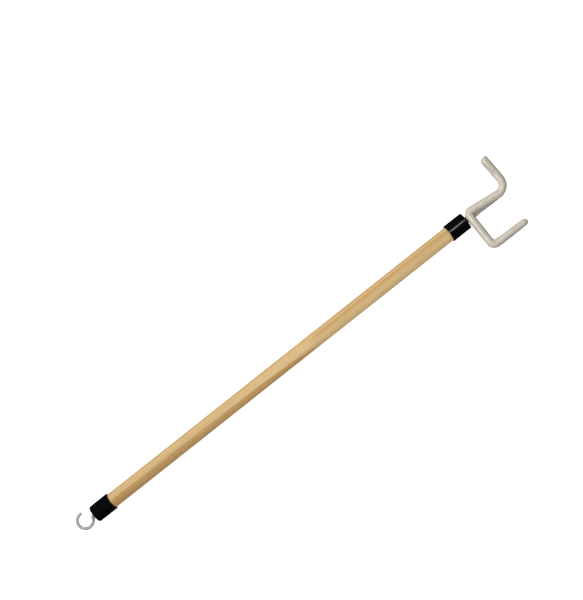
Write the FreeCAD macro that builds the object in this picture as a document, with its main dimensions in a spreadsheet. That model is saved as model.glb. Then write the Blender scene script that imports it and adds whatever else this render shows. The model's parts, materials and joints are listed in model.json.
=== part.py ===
import FreeCAD, Part
import Sketcher
import math
import os

# A dressing stick: a wooden dowel with a coated push-and-pull hook at one end and a wire hook at the other.
# It is drawn straight along X, push-and-pull hook at +X, with the dowel's middle at the origin.
# It is then rolled about X until both caps and the push arm touch the table, which is Z = 0.

SIZES = [
    ("dowel_diameter", 19.05),
    ("dowel_length", 571.5),
    ("dowel_end_chamfer", 1.5),
    ("upper_cap_length", 27.0),
    ("lower_cap_length", 28.0),
    ("cap_wall", 1.7),
    ("cap_end_wall", 1.5),
    ("cap_inner_round", 1.4),
    ("upper_cap_end_round", 1.6),
    ("lower_cap_end_round", 2.4),
    ("cap_rim_round", 0.6),
    # the push-and-pull hook: distances from the cap's end along X, and from the dowel's axis along Y
    ("rod_diameter", 6.35),
    ("rod_gap", 0.1),
    ("crossbar_reach", 6.1),
    ("corner_offset", 6.5),
    ("push_offset", 45.2),
    ("push_reach", 57.9),
    ("pull_reach", 63.8),
    ("pull_offset", 47.5),
    ("leg_slant", 7.5),
    ("pull_lean", 2.6),
    ("push_bend", 6.7),
    ("corner_bend", 5.5),
    ("pull_bend", 13.0),
    ("shank_reach", 47.0),
    # the dipped skin
    ("coat_diameter", 10.1),
    ("pull_coat_diameter", 10.6),
    ("shank_coat_diameter", 9.2),
    ("coat_end_cover", 2.0),
    ("push_tip_length", 7.5),
    ("coat_end_round", 3.2),
    # how far below the dowel's axis the pull coat ends on the crossbar
    ("coat_meeting_offset", 8.0),
    # how far the push coat runs into the pull coat
    ("coat_overlap", 4.0),
    # the welds
    ("weld_radius", 3.0),
    ("weld_end_round", 2.0),
    ("seam_weld_length", 14.0),
    ("seam_weld_reach", 40.0),
    # the wood screws
    ("shank_screw_depth", 38.0),
    ("shank_screw_pitch", 2.8),
    ("shank_screw_root", 4.6),
    ("shank_screw_crest", 6.2),
    ("wire_screw_depth", 18.0),
    ("wire_screw_pitch", 1.7),
    ("wire_screw_root", 3.0),
    ("wire_screw_crest", 4.2),
    ("screw_plain_length", 3.0),
    ("screw_point_length", 4.0),
    ("screw_point_diameter", 0.6),
    # the wire hook: its ring's centre from the cap's end along X, and from the dowel's axis along Y
    ("wire_diameter", 4.3),
    ("ring_diameter", 19.5),
    ("ring_reach", 12.4),
    ("ring_offset", 1.3),
    ("neck_bend", 3.0),
    ("ring_end_angle", 80.0),
]

PARTS_FOLDER = "parts"
TOLERANCE = 1e-4
# the ridge of a wood screw: how far it sinks into the root, and its half width as a share of the pitch
RIDGE_SINK = 0.96
RIDGE_HALF_WIDTH = 0.28
HELIX_BY_PITCH_AND_HEIGHT = 0
# how a sketch numbers a curve's points, its origin and its own X axis
START = 1
END = 2
CENTRE = 3
ORIGIN = -1
X_AXIS = -1


class Size:
    """A number that remembers the spreadsheet formula it comes from."""

    def __init__(self, value, formula):
        self.value = value
        self.formula = formula

    def __add__(self, other):
        return Size(self.value + number(other), f"({self.formula} + {formula(other)})")

    def __sub__(self, other):
        return Size(self.value - number(other), f"({self.formula} - {formula(other)})")

    def __mul__(self, other):
        return Size(self.value * number(other), f"({self.formula} * {formula(other)})")

    def __truediv__(self, other):
        return Size(self.value / number(other), f"({self.formula} / {formula(other)})")

    def __neg__(self):
        return Size(-self.value, f"(-1 * {self.formula})")


def number(size):
    return size.value if isinstance(size, Size) else size


def formula(size):
    return size.formula if isinstance(size, Size) else str(size)


def tangent(angle):
    return Size(math.tan(math.radians(number(angle))), f"tan({formula(angle)} * 1 deg)")


def make_sheet(doc):
    """Writes every driving dimension in a spreadsheet, and returns them by name."""
    sheet = doc.addObject("Spreadsheet::Sheet", "Sizes")
    for row, (name, value) in enumerate(SIZES, start=1):
        sheet.set(f"A{row}", name)
        sheet.set(f"B{row}", str(value))
        sheet.setAlias(f"B{row}", name)
    doc.recompute()
    return {name: Size(float(sheet.get(name)), f"Sizes.{name}") for name, value in SIZES}


def bind(item, setting, size):
    """Ties one property of an object to the spreadsheet."""
    item.setExpression(setting, formula(size))


def origin_item(body, role):
    return next(item for item in body.Origin.OriginFeatures if item.Role == role)


def new_body(doc, name):
    body = doc.addObject("PartDesign::Body", name)
    body.Label = name
    return body


def lay_on_plane(item, body, role, x=0, y=0, z=0):
    """Attaches an item to one of its body's planes, moved by sizes in the plane's own axes."""
    item.AttachmentSupport = (origin_item(body, role), [""])
    item.MapMode = "FlatFace"
    for axis, size in (("x", x), ("y", y), ("z", z)):
        if isinstance(size, Size):
            bind(item, f"AttachmentOffset.Base.{axis}", size)


def bar(body, kind, name, radius, start, length):
    """Adds or cuts a round bar along X. The plane's own z axis is the model's X."""
    cylinder = body.newObject(f"PartDesign::{kind}Cylinder", name)
    lay_on_plane(cylinder, body, "YZ_Plane", z=start)
    bind(cylinder, "Radius", radius)
    bind(cylinder, "Height", length)
    return cylinder


def circle_edges(shape, centre, radius):
    """Names of a shape's circular edges with one centre and radius."""
    names = []
    for index, edge in enumerate(shape.Edges, start=1):
        curve = edge.Curve
        if not isinstance(curve, Part.Circle):
            continue
        same_place = curve.Center.distanceToPoint(centre) < TOLERANCE
        if same_place and abs(curve.Radius - number(radius)) < TOLERANCE:
            names.append(f"Edge{index}")
    return names


def on_axis(x):
    """A point on the dowel's axis."""
    return FreeCAD.Vector(number(x), 0, 0)


def round_edge(body, name, base, centre, radius, fillet_radius):
    """Rounds the latest feature's circular edge with one centre and radius."""
    body.Document.recompute()
    fillet = body.newObject("PartDesign::Fillet", name)
    fillet.Base = (base, circle_edges(base.Shape, centre, radius))
    bind(fillet, "Radius", fillet_radius)
    return fillet


def pin_point(sketch, curve, point, x=None, y=None):
    """Fixes a sketch point's distance from the origin along one or both axes."""
    for kind, size in (("DistanceX", x), ("DistanceY", y)):
        if size is not None:
            place = sketch.addConstraint(Sketcher.Constraint(kind, curve, point, number(size)))
            bind(sketch, f"Constraints[{place}]", size)


def fix_radius(sketch, curve, radius):
    place = sketch.addConstraint(Sketcher.Constraint("Radius", curve, number(radius)))
    bind(sketch, f"Constraints[{place}]", radius)


def fix_angle(sketch, line, angle):
    """Fixes a line's angle from the X axis, in degrees."""
    place = sketch.addConstraint(Sketcher.Constraint("Angle", line, math.radians(number(angle))))
    bind(sketch, f"Constraints[{place}]", angle)


def round_outline(body, name, radius, plane, x=0, y=0, z=0):
    """A circle about a point of one plane, where a bent bar starts."""
    sketch = body.newObject("Sketcher::SketchObject", name)
    lay_on_plane(sketch, body, plane, x, y, z)
    round_line = Part.Circle(FreeCAD.Vector(), FreeCAD.Vector(0, 0, 1), number(radius))
    circle = sketch.addGeometry(round_line, False)
    sketch.addConstraint(Sketcher.Constraint("Coincident", circle, CENTRE, ORIGIN, START))
    fix_radius(sketch, circle, radius)
    return sketch


def flat(x, y):
    return FreeCAD.Vector(number(x), number(y), 0)


def nearest_end(sketch, arc, meeting):
    """Which end of an arc lies at a point."""
    return min((START, END), key=lambda end: sketch.getPoint(arc, end).distanceToPoint(meeting))


def join_smoothly(sketch, leg, leg_end, arc, meeting):
    """Makes one end of a leg run tangentially into the arc that meets it there."""
    arc_end = nearest_end(sketch, arc, meeting)
    sketch.addConstraint(Sketcher.Constraint("Tangent", leg, leg_end, arc, arc_end))


def draw_bent_path(sketch, corners, bends):
    """Straight legs that aim at each corner in turn, joined by tangent arcs of the given radii."""
    points = [flat(x, y) for x, y in corners]
    trims = [0.0]
    for before, corner, after, bend in zip(points, points[1:], points[2:], bends):
        turn = math.pi - (before - corner).getAngle(after - corner)
        trims.append(number(bend) * math.tan(turn / 2))
    trims.append(0.0)
    legs = []
    for start, end, start_trim, end_trim in zip(points, points[1:], trims, trims[1:]):
        along = (end - start).normalize()
        leg = Part.LineSegment(start + along * start_trim, end - along * end_trim)
        legs.append(sketch.addGeometry(leg, False))
    for place, bend in enumerate(bends):
        corner = points[place + 1]
        back = (points[place] - corner).normalize()
        onward = (points[place + 2] - corner).normalize()
        inward = (back + onward).normalize()
        start = corner + back * trims[place + 1]
        end = corner + onward * trims[place + 1]
        centre = corner + inward * math.hypot(trims[place + 1], number(bend))
        arc = sketch.addGeometry(Part.Arc(start, centre - inward * number(bend), end), False)
        join_smoothly(sketch, legs[place], END, arc, start)
        join_smoothly(sketch, legs[place + 1], START, arc, end)
        fix_radius(sketch, arc, bend)
        vertex = sketch.addGeometry(Part.Point(corner), True)
        pin_point(sketch, vertex, START, *corners[place + 1])
        sketch.addConstraint(Sketcher.Constraint("PointOnObject", vertex, START, legs[place]))
        sketch.addConstraint(Sketcher.Constraint("PointOnObject", vertex, START, legs[place + 1]))
    pin_point(sketch, legs[0], START, *corners[0])
    pin_point(sketch, legs[-1], END, *corners[-1])


def bent_bar(body, name, outline, corners, bends, lift):
    """A bar swept along straight legs and arcs, in a plane parallel to XY."""
    path = body.newObject("Sketcher::SketchObject", f"{name}_path")
    lay_on_plane(path, body, "XY_Plane", z=lift)
    draw_bent_path(path, corners, bends)
    return sweep(body, name, outline, path)


def sweep(body, name, outline, path):
    feature = body.newObject("PartDesign::AdditivePipe", name)
    feature.Profile = outline
    feature.Spine = path
    return feature


def wood_screw(body, name, size, tip, way, kind):
    """A pointed root with a helical ridge, from its tip inwards. way is +1 when it grows towards +X."""
    depth = size[f"{kind}_screw_depth"]
    pitch = size[f"{kind}_screw_pitch"]
    root_radius = size[f"{kind}_screw_root"] / 2
    crest_radius = size[f"{kind}_screw_crest"] / 2
    point_length = size["screw_point_length"]
    root_start = tip + point_length if way > 0 else tip - depth
    bar(body, "Additive", f"{name}_root", root_radius, root_start, depth - point_length)
    point = body.newObject("PartDesign::AdditiveCone", f"{name}_point")
    lay_on_plane(point, body, "YZ_Plane", z=tip if way > 0 else tip - point_length)
    bind(point, "Height", point_length)
    small = size["screw_point_diameter"] / 2
    bind(point, "Radius1", small if way > 0 else root_radius)
    bind(point, "Radius2", root_radius if way > 0 else small)
    ridge_start = tip + point_length if way > 0 else tip - point_length
    ridge = body.newObject("Sketcher::SketchObject", f"{name}_ridge_outline")
    lay_on_plane(ridge, body, "XY_Plane")
    base_radius = root_radius * RIDGE_SINK
    half_base = pitch * (RIDGE_HALF_WIDTH * way)
    corners = [
        (ridge_start, base_radius),
        (ridge_start + half_base, crest_radius),
        (ridge_start + half_base * 2, base_radius),
    ]
    draw_polygon(ridge, corners)
    helix = body.newObject("PartDesign::AdditiveHelix", f"{name}_ridge")
    helix.Profile = ridge
    helix.ReferenceAxis = (origin_item(body, "X_Axis"), [""])
    helix.Mode = HELIX_BY_PITCH_AND_HEIGHT
    bind(helix, "Pitch", pitch)
    bind(helix, "Height", depth - point_length - size["screw_plain_length"])
    helix.Reversed = way < 0
    return helix


def draw_polygon(sketch, corners):
    """A closed outline of straight sides, each corner fixed from the origin."""
    points = [FreeCAD.Vector(number(x), number(y), 0) for x, y in corners]
    sides = []
    for start, end in zip(points, points[1:] + points[:1]):
        sides.append(sketch.addGeometry(Part.LineSegment(start, end), False))
    for side, following in zip(sides, sides[1:] + sides[:1]):
        sketch.addConstraint(Sketcher.Constraint("Coincident", side, END, following, START))
    for side, (x, y) in zip(sides, corners):
        pin_point(sketch, side, START, x, y)


def make_dowel_blank(doc, size):
    """The wooden stick before its screws are driven in, with both ends chamfered."""
    body = new_body(doc, "dowel_blank")
    radius = size["dowel_diameter"] / 2
    half_length = size["dowel_length"] / 2
    stick = bar(body, "Additive", "stick", radius, -half_length, size["dowel_length"])
    doc.recompute()
    chamfer = body.newObject("PartDesign::Chamfer", "end_chamfers")
    both_ends = [circle_edges(stick.Shape, on_axis(end), radius) for end in (half_length, -half_length)]
    chamfer.Base = (stick, both_ends[0] + both_ends[1])
    bind(chamfer, "Size", size["dowel_end_chamfer"])
    return body


def make_cap(doc, size, side, way, hole_diameter):
    """A dip-moulded cup over one end of the dowel. way is +1 at the +X end and -1 at the other."""
    name = f"{side}_end_cap"
    length = size[f"{side}_cap_length"]
    end_round = size[f"{side}_cap_end_round"]
    body = new_body(doc, name)
    inner_radius = size["dowel_diameter"] / 2
    outer_radius = inner_radius + size["cap_wall"]
    cup_depth = length - size["cap_end_wall"]
    floor = size["dowel_length"] / 2 * way
    end = floor + size["cap_end_wall"] * way
    rim = floor - cup_depth * way
    low_side = rim if way > 0 else end
    outside = bar(body, "Additive", f"{name}_outside", outer_radius, low_side, length)
    domed = round_edge(body, f"{name}_end_round", outside, on_axis(end), outer_radius, end_round)
    round_edge(body, f"{name}_rim_round", domed, on_axis(rim), outer_radius, size["cap_rim_round"])
    cup = bar(body, "Subtractive", f"{name}_cup", inner_radius, rim if way > 0 else floor, cup_depth)
    round_edge(body, f"{name}_inner_round", cup, on_axis(floor), inner_radius, size["cap_inner_round"])
    hole_start = floor if way > 0 else end
    bar(body, "Subtractive", f"{name}_hole", hole_diameter / 2, hole_start, size["cap_end_wall"])
    return body


class HookLayout:
    """Where the push-and-pull hook's legs run, worked out from the driving dimensions."""

    def __init__(self, size):
        self.cap_end = size["dowel_length"] / 2 + size["cap_end_wall"]
        self.lift = size["rod_diameter"] + size["rod_gap"]
        self.crossbar_x = self.cap_end + size["crossbar_reach"]
        self.push_y = -size["push_offset"]
        self.push_tip_x = self.cap_end + size["push_reach"]
        self.lower_elbow = (self.crossbar_x, self.push_y)
        self.corner = (self.crossbar_x, size["corner_offset"])
        slope = tangent(size["leg_slant"])
        drop = (size["pull_reach"] - size["crossbar_reach"]) * slope
        self.elbow = (self.cap_end + size["pull_reach"], size["corner_offset"] - drop)
        self.lean = size["pull_lean"]

    def on_pull_arm(self, offset):
        """The pull arm's axis at one distance from the dowel's axis. It leans back towards the dowel."""
        elbow_x, elbow_y = self.elbow
        return (elbow_x - (offset - elbow_y) * tangent(self.lean), offset)

    def on_middle_leg(self, reach, size):
        """How far the middle leg's axis is to one side of the shank, at one distance past the cap."""
        return size["corner_offset"] - (reach - size["crossbar_reach"]) * tangent(size["leg_slant"])


def make_push_pull_rod(doc, size, layout):
    """One rod bent three times: push arm, crossbar, slanted middle leg and pull arm."""
    body = new_body(doc, "push_pull_rod")
    start_x = layout.push_tip_x - size["coat_end_cover"]
    outline = round_outline(
        body, "rod_outline", size["rod_diameter"] / 2, "YZ_Plane", layout.push_y, layout.lift, start_x
    )
    pull_end = layout.on_pull_arm(size["pull_offset"] - size["coat_end_cover"])
    corners = [(start_x, layout.push_y), layout.lower_elbow, layout.corner, layout.elbow, pull_end]
    bends = [size["push_bend"], size["corner_bend"], size["pull_bend"]]
    bent_bar(body, "rod", outline, corners, bends, layout.lift)
    return body


def make_screw_shank(doc, size, layout):
    """The straight rod on the dowel's axis, with its wood screw inside the dowel."""
    body = new_body(doc, "screw_shank")
    wood_end = size["dowel_length"] / 2
    wood_screw(body, "shank_screw", size, wood_end - size["shank_screw_depth"], 1, "shank")
    plain_start = wood_end - size["screw_plain_length"]
    length = size["shank_reach"] + size["cap_end_wall"] + size["screw_plain_length"]
    bar(body, "Additive", "shank", size["rod_diameter"] / 2, plain_start, length)
    return body


def make_c_hook(doc, size):
    """A wire that leaves the dowel on its axis, turns aside and runs most of the way round a ring."""
    body = new_body(doc, "c_hook")
    wood_end = -size["dowel_length"] / 2
    wood_screw(body, "wire_screw", size, wood_end + size["wire_screw_depth"], -1, "wire")
    plain_start = wood_end + size["screw_plain_length"]
    ring_centre = (wood_end - size["cap_end_wall"] - size["ring_reach"], size["ring_offset"])
    outline = round_outline(body, "wire_outline", size["wire_diameter"] / 2, "YZ_Plane", z=plain_start)
    path = body.newObject("Sketcher::SketchObject", "wire_path")
    lay_on_plane(path, body, "XY_Plane")
    draw_wire_path(path, plain_start, ring_centre, size)
    sweep(body, "wire", outline, path)
    return body


def draw_wire_path(path, start_x, ring_centre, size):
    """A straight run on the axis, a neck arc turning aside, and the ring's arc turning back."""
    neck = size["neck_bend"]
    ring_radius = size["ring_diameter"] / 2
    centre = flat(*ring_centre)
    spread = number(neck + ring_radius)
    neck_centre = centre + flat(math.sqrt(spread**2 - number(neck + size["ring_offset"]) ** 2), 0)
    neck_centre.y = -number(neck)
    meeting = centre + (neck_centre - centre) * (number(ring_radius) / spread)
    neck_start = flat(neck_centre.x, 0)
    sideways = ((neck_start + meeting) * 0.5 - neck_centre).normalize()
    end_angle = math.radians(number(size["ring_end_angle"]))
    ring_end = centre + flat(math.cos(end_angle), math.sin(end_angle)) * number(ring_radius)
    far_side = centre - flat(ring_radius, 0)
    straight = path.addGeometry(Part.LineSegment(flat(start_x, 0), neck_start), False)
    neck_arc = path.addGeometry(Part.Arc(neck_start, neck_centre + sideways * number(neck), meeting), False)
    ring_arc = path.addGeometry(Part.Arc(meeting, far_side, ring_end), False)
    end_radius = path.addGeometry(Part.LineSegment(centre, ring_end), True)
    pin_point(path, straight, START, x=start_x)
    path.addConstraint(Sketcher.Constraint("PointOnObject", straight, START, X_AXIS))
    path.addConstraint(Sketcher.Constraint("Horizontal", straight))
    join_smoothly(path, straight, END, neck_arc, neck_start)
    join_smoothly(path, neck_arc, nearest_end(path, neck_arc, meeting), ring_arc, meeting)
    fix_radius(path, neck_arc, neck)
    fix_radius(path, ring_arc, ring_radius)
    pin_point(path, ring_arc, CENTRE, *ring_centre)
    ring_tip = nearest_end(path, ring_arc, ring_end)
    path.addConstraint(Sketcher.Constraint("Coincident", end_radius, START, ring_arc, CENTRE))
    path.addConstraint(Sketcher.Constraint("Coincident", end_radius, END, ring_arc, ring_tip))
    fix_angle(path, end_radius, size["ring_end_angle"])


def make_crossing_lump(doc, size, layout):
    """A ball of weld where the crossbar crosses the shank, before it is cut to fit the two rods."""
    body = new_body(doc, "crossing_lump")
    ball = body.newObject("PartDesign::AdditiveSphere", "crossing_ball")
    lay_on_plane(ball, body, "XY_Plane", layout.crossbar_x, 0, layout.lift / 2)
    bind(ball, "Radius", size["weld_radius"])
    return body


def make_seam_lump(doc, size, layout):
    """A run of weld in the valley between the middle leg and the shank, before it is cut to fit them."""
    body = new_body(doc, "seam_lump")
    reach = size["seam_weld_reach"]
    side = layout.on_middle_leg(reach, size) / 2
    start = layout.cap_end + reach - size["seam_weld_length"] / 2
    run = body.newObject("PartDesign::AdditiveCylinder", "seam_run")
    lay_on_plane(run, body, "YZ_Plane", side, layout.lift / 2, start)
    bind(run, "Radius", size["weld_radius"])
    bind(run, "Height", size["seam_weld_length"])
    rounded = run
    for name, x in (("start", start), ("end", start + size["seam_weld_length"])):
        centre = FreeCAD.Vector(number(x), number(side), number(layout.lift) / 2)
        radii = (size["weld_radius"], size["weld_end_round"])
        rounded = round_edge(body, f"seam_{name}_round", rounded, centre, *radii)
    return body


def make_push_coat(doc, size, layout):
    """Skin of the push arm and most of the crossbar, with a bullet-shaped tip."""
    body = new_body(doc, "push_coat")
    radius = size["coat_diameter"] / 2
    start_x = layout.push_tip_x - size["push_tip_length"]
    place = (layout.push_y, layout.lift, start_x)
    outline = round_outline(body, "push_coat_outline", radius, "YZ_Plane", *place)
    meeting = (layout.crossbar_x, size["coat_overlap"] - size["coat_meeting_offset"])
    corners = [(start_x, layout.push_y), layout.lower_elbow, meeting]
    bent_bar(body, "push_coat_skin", outline, corners, [size["push_bend"]], layout.lift)
    tip = body.newObject("PartDesign::AdditiveEllipsoid", "push_tip")
    lay_on_plane(tip, body, "YZ_Plane", layout.push_y, layout.lift, start_x)
    bind(tip, "Radius1", size["push_tip_length"])
    bind(tip, "Radius2", radius)
    bind(tip, "Radius3", radius)
    return body


def make_pull_coat(doc, size, layout):
    """Skin of the pull arm, the middle leg and the corner, ending on the crossbar."""
    body = new_body(doc, "pull_coat")
    radius = size["pull_coat_diameter"] / 2
    tip_x, tip_y = layout.on_pull_arm(size["pull_offset"])
    # the XZ plane's own axes are X, Z and -Y
    outline = round_outline(body, "pull_coat_outline", radius, "XZ_Plane", tip_x, layout.lift, -tip_y)
    turn = FreeCAD.Rotation(FreeCAD.Vector(0, 1, 0), number(layout.lean))
    outline.AttachmentOffset = FreeCAD.Placement(outline.AttachmentOffset.Base, turn)
    bind(outline, "AttachmentOffset.Rotation.Angle", layout.lean)
    meeting = (layout.crossbar_x, -size["coat_meeting_offset"])
    corners = [(tip_x, tip_y), layout.elbow, layout.corner, meeting]
    bends = [size["pull_bend"], size["corner_bend"]]
    skin = bent_bar(body, "pull_coat_skin", outline, corners, bends, layout.lift)
    tip_centre = FreeCAD.Vector(number(tip_x), number(tip_y), number(layout.lift))
    round_edge(body, "pull_tip_round", skin, tip_centre, radius, size["coat_end_round"])
    return body


def make_shank_coat(doc, size, layout):
    """Skin of the straight shank, from the cap's end to its rounded tip behind the middle leg."""
    body = new_body(doc, "shank_coat")
    radius = size["shank_coat_diameter"] / 2
    length = size["shank_reach"] + size["coat_end_cover"]
    skin = bar(body, "Additive", "shank_coat_skin", radius, layout.cap_end, length)
    far_end = on_axis(layout.cap_end + length)
    round_edge(body, "shank_coat_round", skin, far_end, radius, size["coat_end_round"])
    return body


def join(doc, name, pieces):
    union = doc.addObject("Part::MultiFuse", name)
    union.Shapes = pieces
    return union


def cut(doc, name, base, tools):
    """Takes each tool out of the base in turn. The last cut carries the sub-part's name."""
    for tool in tools[:-1]:
        rough = doc.addObject("Part::Cut", f"{name}_less_{tool.Name}")
        rough.Base = base
        rough.Tool = tool
        base = rough
    result = doc.addObject("Part::Cut", name)
    result.Label = name
    result.Base = base
    result.Tool = tools[-1]
    return result


def roll_to_rest(size, layout):
    """Turns the stick about its axis until the push arm comes down to the level of the caps."""
    offset = number(size["push_offset"])
    lift = number(layout.lift)
    cap_radius = number(size["dowel_diameter"] / 2 + size["cap_wall"])
    rise = cap_radius - number(size["coat_diameter"]) / 2
    roll = math.atan2(lift, offset) + math.asin(rise / math.hypot(offset, lift))
    return FreeCAD.Rotation(FreeCAD.Vector(1, 0, 0), math.degrees(roll))


def place_at_rest(doc, pieces, results, roll):
    """Rolls every piece, then centres the whole stick over the origin and stands it on Z = 0."""
    for piece in pieces:
        piece.Placement = FreeCAD.Placement(FreeCAD.Vector(), roll)
    doc.recompute()
    box = Part.makeCompound([result.Shape for result in results]).optimalBoundingBox(False)
    shift = FreeCAD.Vector(-box.Center.x, -box.Center.y, -box.ZMin)
    for piece in pieces:
        piece.Placement = FreeCAD.Placement(shift, roll)
    doc.recompute()


def check_document(doc, results):
    """Stops when an object failed to recompute or a sub-part has no sound solid."""
    for item in doc.Objects:
        if {"Invalid", "Error"} & set(item.State):
            raise RuntimeError(f"{item.Name} failed: {item.State}")
    for result in results:
        if result.Shape.isNull() or not result.Shape.isValid() or not result.Shape.Solids:
            raise RuntimeError(f"{result.Label} has no sound solid")


def main():
    doc = FreeCAD.newDocument("dressing_stick")
    size = make_sheet(doc)
    layout = HookLayout(size)

    dowel_blank = make_dowel_blank(doc, size)
    upper_cap = make_cap(doc, size, "upper", 1, size["rod_diameter"])
    lower_cap = make_cap(doc, size, "lower", -1, size["wire_diameter"])
    rod = make_push_pull_rod(doc, size, layout)
    shank = make_screw_shank(doc, size, layout)
    c_hook = make_c_hook(doc, size)
    crossing_lump = make_crossing_lump(doc, size, layout)
    seam_lump = make_seam_lump(doc, size, layout)

    dowel = cut(doc, "dowel", dowel_blank, [shank, c_hook])
    crossing_weld = cut(doc, "crossing_weld", crossing_lump, [rod, shank])
    seam_weld = cut(doc, "seam_weld", seam_lump, [rod, shank])
    coats = [maker(doc, size, layout) for maker in (make_push_coat, make_pull_coat, make_shank_coat)]
    whole_coat = join(doc, "coats", coats)
    coating = cut(doc, "hook_coating", whole_coat, [rod, shank, crossing_lump, seam_lump])

    pieces = [dowel_blank, upper_cap, lower_cap, rod, shank, c_hook, crossing_lump, seam_lump] + coats
    results = [dowel, upper_cap, lower_cap, rod, shank, crossing_weld, seam_weld, coating, c_hook]
    place_at_rest(doc, pieces, results, roll_to_rest(size, layout))
    check_document(doc, results)
    os.makedirs(PARTS_FOLDER, exist_ok=True)
    for result in results:
        result.Shape.exportStep(os.path.join(PARTS_FOLDER, f"{result.Label}.step"))
        box = result.Shape.BoundBox
        print(result.Label, len(result.Shape.Solids), f"{result.Shape.Volume:.1f} mm3", box)


main()
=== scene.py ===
import itertools
import json
import math

import bmesh
import bpy
import numpy as np
from mathutils import Matrix, Vector


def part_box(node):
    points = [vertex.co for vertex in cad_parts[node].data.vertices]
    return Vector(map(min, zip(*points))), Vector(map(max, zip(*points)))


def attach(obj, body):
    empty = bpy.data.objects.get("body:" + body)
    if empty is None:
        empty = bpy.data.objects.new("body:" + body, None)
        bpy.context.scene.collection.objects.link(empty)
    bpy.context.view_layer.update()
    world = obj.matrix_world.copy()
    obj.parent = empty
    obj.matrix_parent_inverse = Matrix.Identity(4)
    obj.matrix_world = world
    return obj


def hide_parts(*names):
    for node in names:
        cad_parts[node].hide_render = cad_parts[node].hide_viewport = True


# A dressing stick lying on a white floor: the dowel, its caps, the dipped push-and-pull hook and the wire
# hook. The pieces are drawn in the stick's own axes, in metres: x along the dowel towards the big hook,
# y to the side that the pull arm points to, and z square to the plane that the hooks are bent in. That plane
# leans a little, because the stick rests on its caps and on the push arm.

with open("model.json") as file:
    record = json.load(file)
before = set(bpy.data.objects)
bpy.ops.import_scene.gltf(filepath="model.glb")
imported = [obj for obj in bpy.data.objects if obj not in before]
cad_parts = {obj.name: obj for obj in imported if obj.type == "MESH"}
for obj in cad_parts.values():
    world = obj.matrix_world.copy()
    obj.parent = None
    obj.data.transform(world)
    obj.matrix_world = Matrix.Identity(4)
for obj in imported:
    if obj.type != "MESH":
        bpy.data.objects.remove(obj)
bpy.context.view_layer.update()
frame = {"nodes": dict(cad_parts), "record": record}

MM = 0.001
HALF_TURN = math.pi
FULL_TURN = 2 * math.pi
ROUND_SIDES = 144
ARC_STEPS = 8
SAME_PLACE = 1e-7


# ---- where the stick lies, read from the frame ----

mounts = {mount["name"]: mount for mount in frame["record"]["mounts"]}
dowel_low, dowel_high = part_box("dowel")
along = Vector((1, 0, 0))
hook_normal = Vector(mounts["hanging_eye"]["axis"]).normalized()
sideways = hook_normal.cross(along)
to_row = Matrix((along, sideways, hook_normal)).transposed().to_4x4()
to_row.translation = (dowel_low + dowel_high) / 2
to_stick = to_row.inverted()


def in_stick(point):
    """A point of the row frame, in the stick's own axes."""
    return to_stick @ Vector(point)


# ---- sizes, in metres ----

dowel_radius = (dowel_high.y - dowel_low.y) / 2
dowel_half = (dowel_high.x - dowel_low.x) / 2
DOWEL_CHAMFER = 1.5 * MM
CHAMFER_END_ROUND = 0.4 * MM
CHAMFER_SIDE_ROUND = 1.5 * MM
DOWEL_UNEVENNESS = 0.02 * MM
SHANK_BORE = 3.15 * MM
SHANK_BORE_DEPTH = 38.5 * MM
WIRE_BORE = 2.15 * MM
WIRE_BORE_DEPTH = 18.5 * MM

upper_low, upper_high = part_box("upper_end_cap")
cap_radius = (upper_high.y - upper_low.y) / 2
cap_end = in_stick(upper_high).x
upper_length = upper_high.x - upper_low.x
lower_low, lower_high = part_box("lower_end_cap")
lower_length = lower_high.x - lower_low.x
CAP_INNER_ROUND = 1.4 * MM
CAP_RIM_ROUND = 0.6 * MM
CAP_LIP_ROUND = 0.3 * MM
UPPER_END_ROUND = 1.6 * MM
LOWER_END_ROUND = 3.2 * MM
# how far the caps shrink away from the rim, and how uneven their sides are
CAP_SHRINK = 0.16 * MM
CAP_UNEVENNESS = 0.05 * MM
# how far along the cap its rim's shape reaches, and how far the rim waves, dips twice a turn and curves back
RIM_REACH = 3.0 * MM
RIM_WAVE = 0.12 * MM
RIM_DIPS = 0.1 * MM
RIM_CURVE = 1.1 * MM
# the dimple round the hook, in the cap's end
DIMPLE = 0.35 * MM
DIMPLE_RADIUS = 2.2 * MM
DIMPLE_REACH = 0.6 * MM

# the push-and-pull hook: distances from the cap's end along x, and from the dowel's axis along y
rod_lift = in_stick(mounts["push_prong"]["pos_m"]).z
ROD_RADIUS = 3.175 * MM
CROSSBAR_REACH = 6.1 * MM
CORNER_OFFSET = 6.5 * MM
LEG_SLANT = math.radians(7.5)
PULL_LEAN = math.radians(2.6)
PUSH_OFFSET = 45.2 * MM
PUSH_REACH = 57.9 * MM
PULL_REACH = 63.8 * MM
PULL_OFFSET = 47.5 * MM
SHANK_REACH = 47.0 * MM
END_COVER = 2.0 * MM
elbow_y = CORNER_OFFSET - (PULL_REACH - CROSSBAR_REACH) * math.tan(LEG_SLANT)
PUSH_BEND = 6.7 * MM
CORNER_BEND = 5.5 * MM
PULL_BEND = 13.0 * MM

# the wire hook
ring_centre = in_stick(mounts["hanging_eye"]["pos_m"])
WIRE_RADIUS = 2.15 * MM
RING_RADIUS = 9.75 * MM
NECK_BEND = 3.0 * MM
RING_END_ANGLE = math.radians(80)
THREAD_DEPTH = 18.0 * MM
THREAD_PITCH = 1.7 * MM
THREAD_ROOT = 1.5 * MM
THREAD_CREST = 2.1 * MM
THREAD_POINT = 4.0 * MM
# half the width of the thread's ridge, as a share of its pitch, and the screw's blunt end, of its radius
RIDGE_HALF_WIDTH = 0.28
BLUNT_SHARE = 0.08
PLAIN_LENGTH = 3.0 * MM
WIRE_SIDES = 40
WIRE_DENT = 0.03 * MM
WIRE_WORN_EDGE = 0.35 * MM


# ---- mesh helpers ----

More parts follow.
